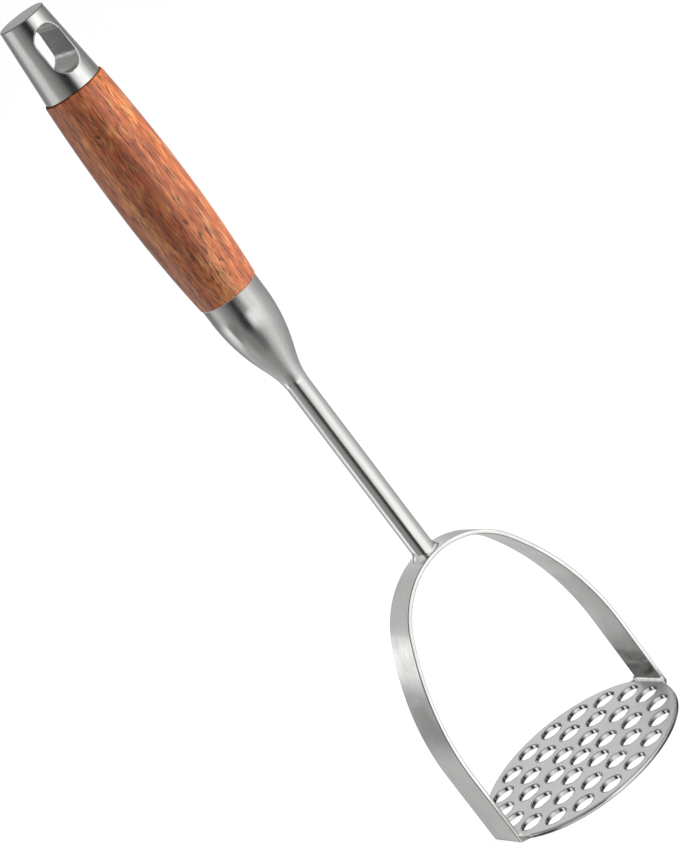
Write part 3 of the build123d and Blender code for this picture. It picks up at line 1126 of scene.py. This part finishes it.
def make_floor():
    """A wide white floor that keeps a faint shadow and stays out of mirror reflections."""
    reach = FLOOR_REACH
    verts = [(-reach, -reach, 0), (reach, -reach, 0), (reach, reach, 0), (-reach, reach, 0)]
    floor = finish_mesh("studio_floor", verts, [(0, 1, 2, 3)])
    material, graph, _ = new_material("white_floor")
    bounce = graph.node("ShaderNodeBsdfDiffuse", None, Color=grey(FLOOR_BOUNCE))
    glow = graph.node("ShaderNodeEmission", None, Color=grey(1.0), Strength=FLOOR_GLOW)
    shade = graph.node("ShaderNodeBsdfDiffuse", None, Color=grey(FLOOR_SHADE))
    seen = graph.fed("ShaderNodeAddShader", None, glow.outputs[0], shade.outputs[0])
    for_camera = graph.node("ShaderNodeLightPath").outputs["Is Camera Ray"]
    graph.finish(graph.fed("ShaderNodeMixShader", None, for_camera, bounce.outputs[0], seen.outputs[0]))
    floor.data.materials.append(material)
    floor.visible_glossy = False


def make_low_ring():
    """A ring of light and dark cards below the floor, seen only in the reflections of the plate's edges."""
    verts = []
    for height in (RING_TOP, RING_BOTTOM):
        for i in range(RING_SEGMENTS):
            angle = 2 * math.pi * i / RING_SEGMENTS
            verts.append((RING_RADIUS * math.cos(angle), RING_RADIUS * math.sin(angle), height))
    ring = finish_mesh("low_card_ring", verts, ring_faces(0, 2, RING_SEGMENTS))
    material, graph, place = new_material("low_cards")
    colour = graph.row(graph.turn(place)[1], RING_ROW)
    graph.finish(graph.node("ShaderNodeEmission", None, Color=colour, Strength=1.0))
    ring.data.materials.append(material)
    ring.visible_camera = False
    ring.visible_diffuse = False
    ring.visible_transmission = False
    ring.visible_volume_scatter = False
    ring.visible_shadow = False


def make_studio():
    """The camera, the light and what stands round the object."""
    bpy.context.scene.view_settings.view_transform = "Standard"
    make_camera()
    make_world()
    make_lamp("key_lamp", azimuth=84, elevation=22, distance_m=1.3, size_m=0.6, power=24.0)
    make_floor()
    make_low_ring()


def make_handle():
    """The stem, the ferrule, the grip and the end cap. Turned pieces are brushed up their length."""
    turned = {"streaks": (3400.0, 3400.0, 70.0), "patches": (160.0, 160.0, 40.0), "depth": 0.0035}
    bar_steel = streaked_steel("satin_bar_steel", roughness=(0.10, 0.17), **turned)
    # The ferrule is a darker copy of the bar steel above its flute, a painted shade
    shaded = {"bright": 0.8, "bright_below": (FERRULE_TIP, OGEE_HEIGHT)}
    sleeve_steel = streaked_steel("satin_sleeve_steel_painted_shade", roughness=(0.12, 0.18), **turned, **shaded)
    # The slot's walls get steel at about half brightness, painted shade in the slot
    wall_steel = streaked_steel(
        "slot_steel_painted_shade", (3000.0, 90.0, 3000.0), (300.0,) * 3, (0.22, 0.3), depth=0.003, bright=0.52
    )
    # Steel at a quarter of its brightness for the cap's top edge and the slot's near left rim, a painted
    # dark reflection
    dark_edge = streaked_steel(
        "cap_edge_painted_reflection", (900.0,) * 3, (300.0,) * 3, (0.25, 0.32), depth=0.002, bright=0.25
    )
    make_stem(bar_steel)
    make_ferrule(sleeve_steel)
    make_grip(rosewood("rosewood"))
    # The end disc is a darker copy of the plate's blasted steel, a painted shade
    make_end_cap([bar_steel, blasted_steel("blasted_disc_painted_shade", 0.53), dark_edge, wall_steel])


def make_head():
    """The plate, the strap and the welds. The strap is brushed along its length, across Y."""
    strap_steel = streaked_steel(
        "brushed_strap_steel", (110.0, 3000.0, 110.0), (120.0,) * 3, (0.22, 0.30), 0.005, dark_feet=True
    )
    # The side faces' steel is polished and also 1.1 times as bright, partly a painted highlight
    edge_steel = streaked_steel(
        "polished_strap_edge_painted_highlight", (160.0, 2600.0, 160.0), (150.0,) * 3, (0.09, 0.14), depth=0.001, bright=1.1
    )
    # The plate's edge lines and the outer parts of its rounds get steel at 0.55 brightness, a painted dark
    # edge reflection
    plate_edge = streaked_steel(
        "plate_edge_painted_reflection", (900.0,) * 3, (300.0,) * 3, (0.25, 0.32), depth=0.002, bright=0.55
    )
    weld = dressed_weld("dressed_weld_steel")
    make_plate(blasted_steel("blasted_plate_steel", 0.97), polished_steel("polished_edge_steel"), plate_edge)
    make_strap(strap_steel, edge_steel, corner_line_steel("strap_corner_painted_reflection"))
    make_neck_weld(neck_weld_steel("brushed_neck_weld"))
    make_foot_weld("dressed_foot_weld_left", "foot_weld_left", -1, weld, strap_steel)
    make_foot_weld("dressed_foot_weld_right", "foot_weld_right", 1, weld, strap_steel)


def main():
    make_studio()
    make_handle()
    make_head()


main()
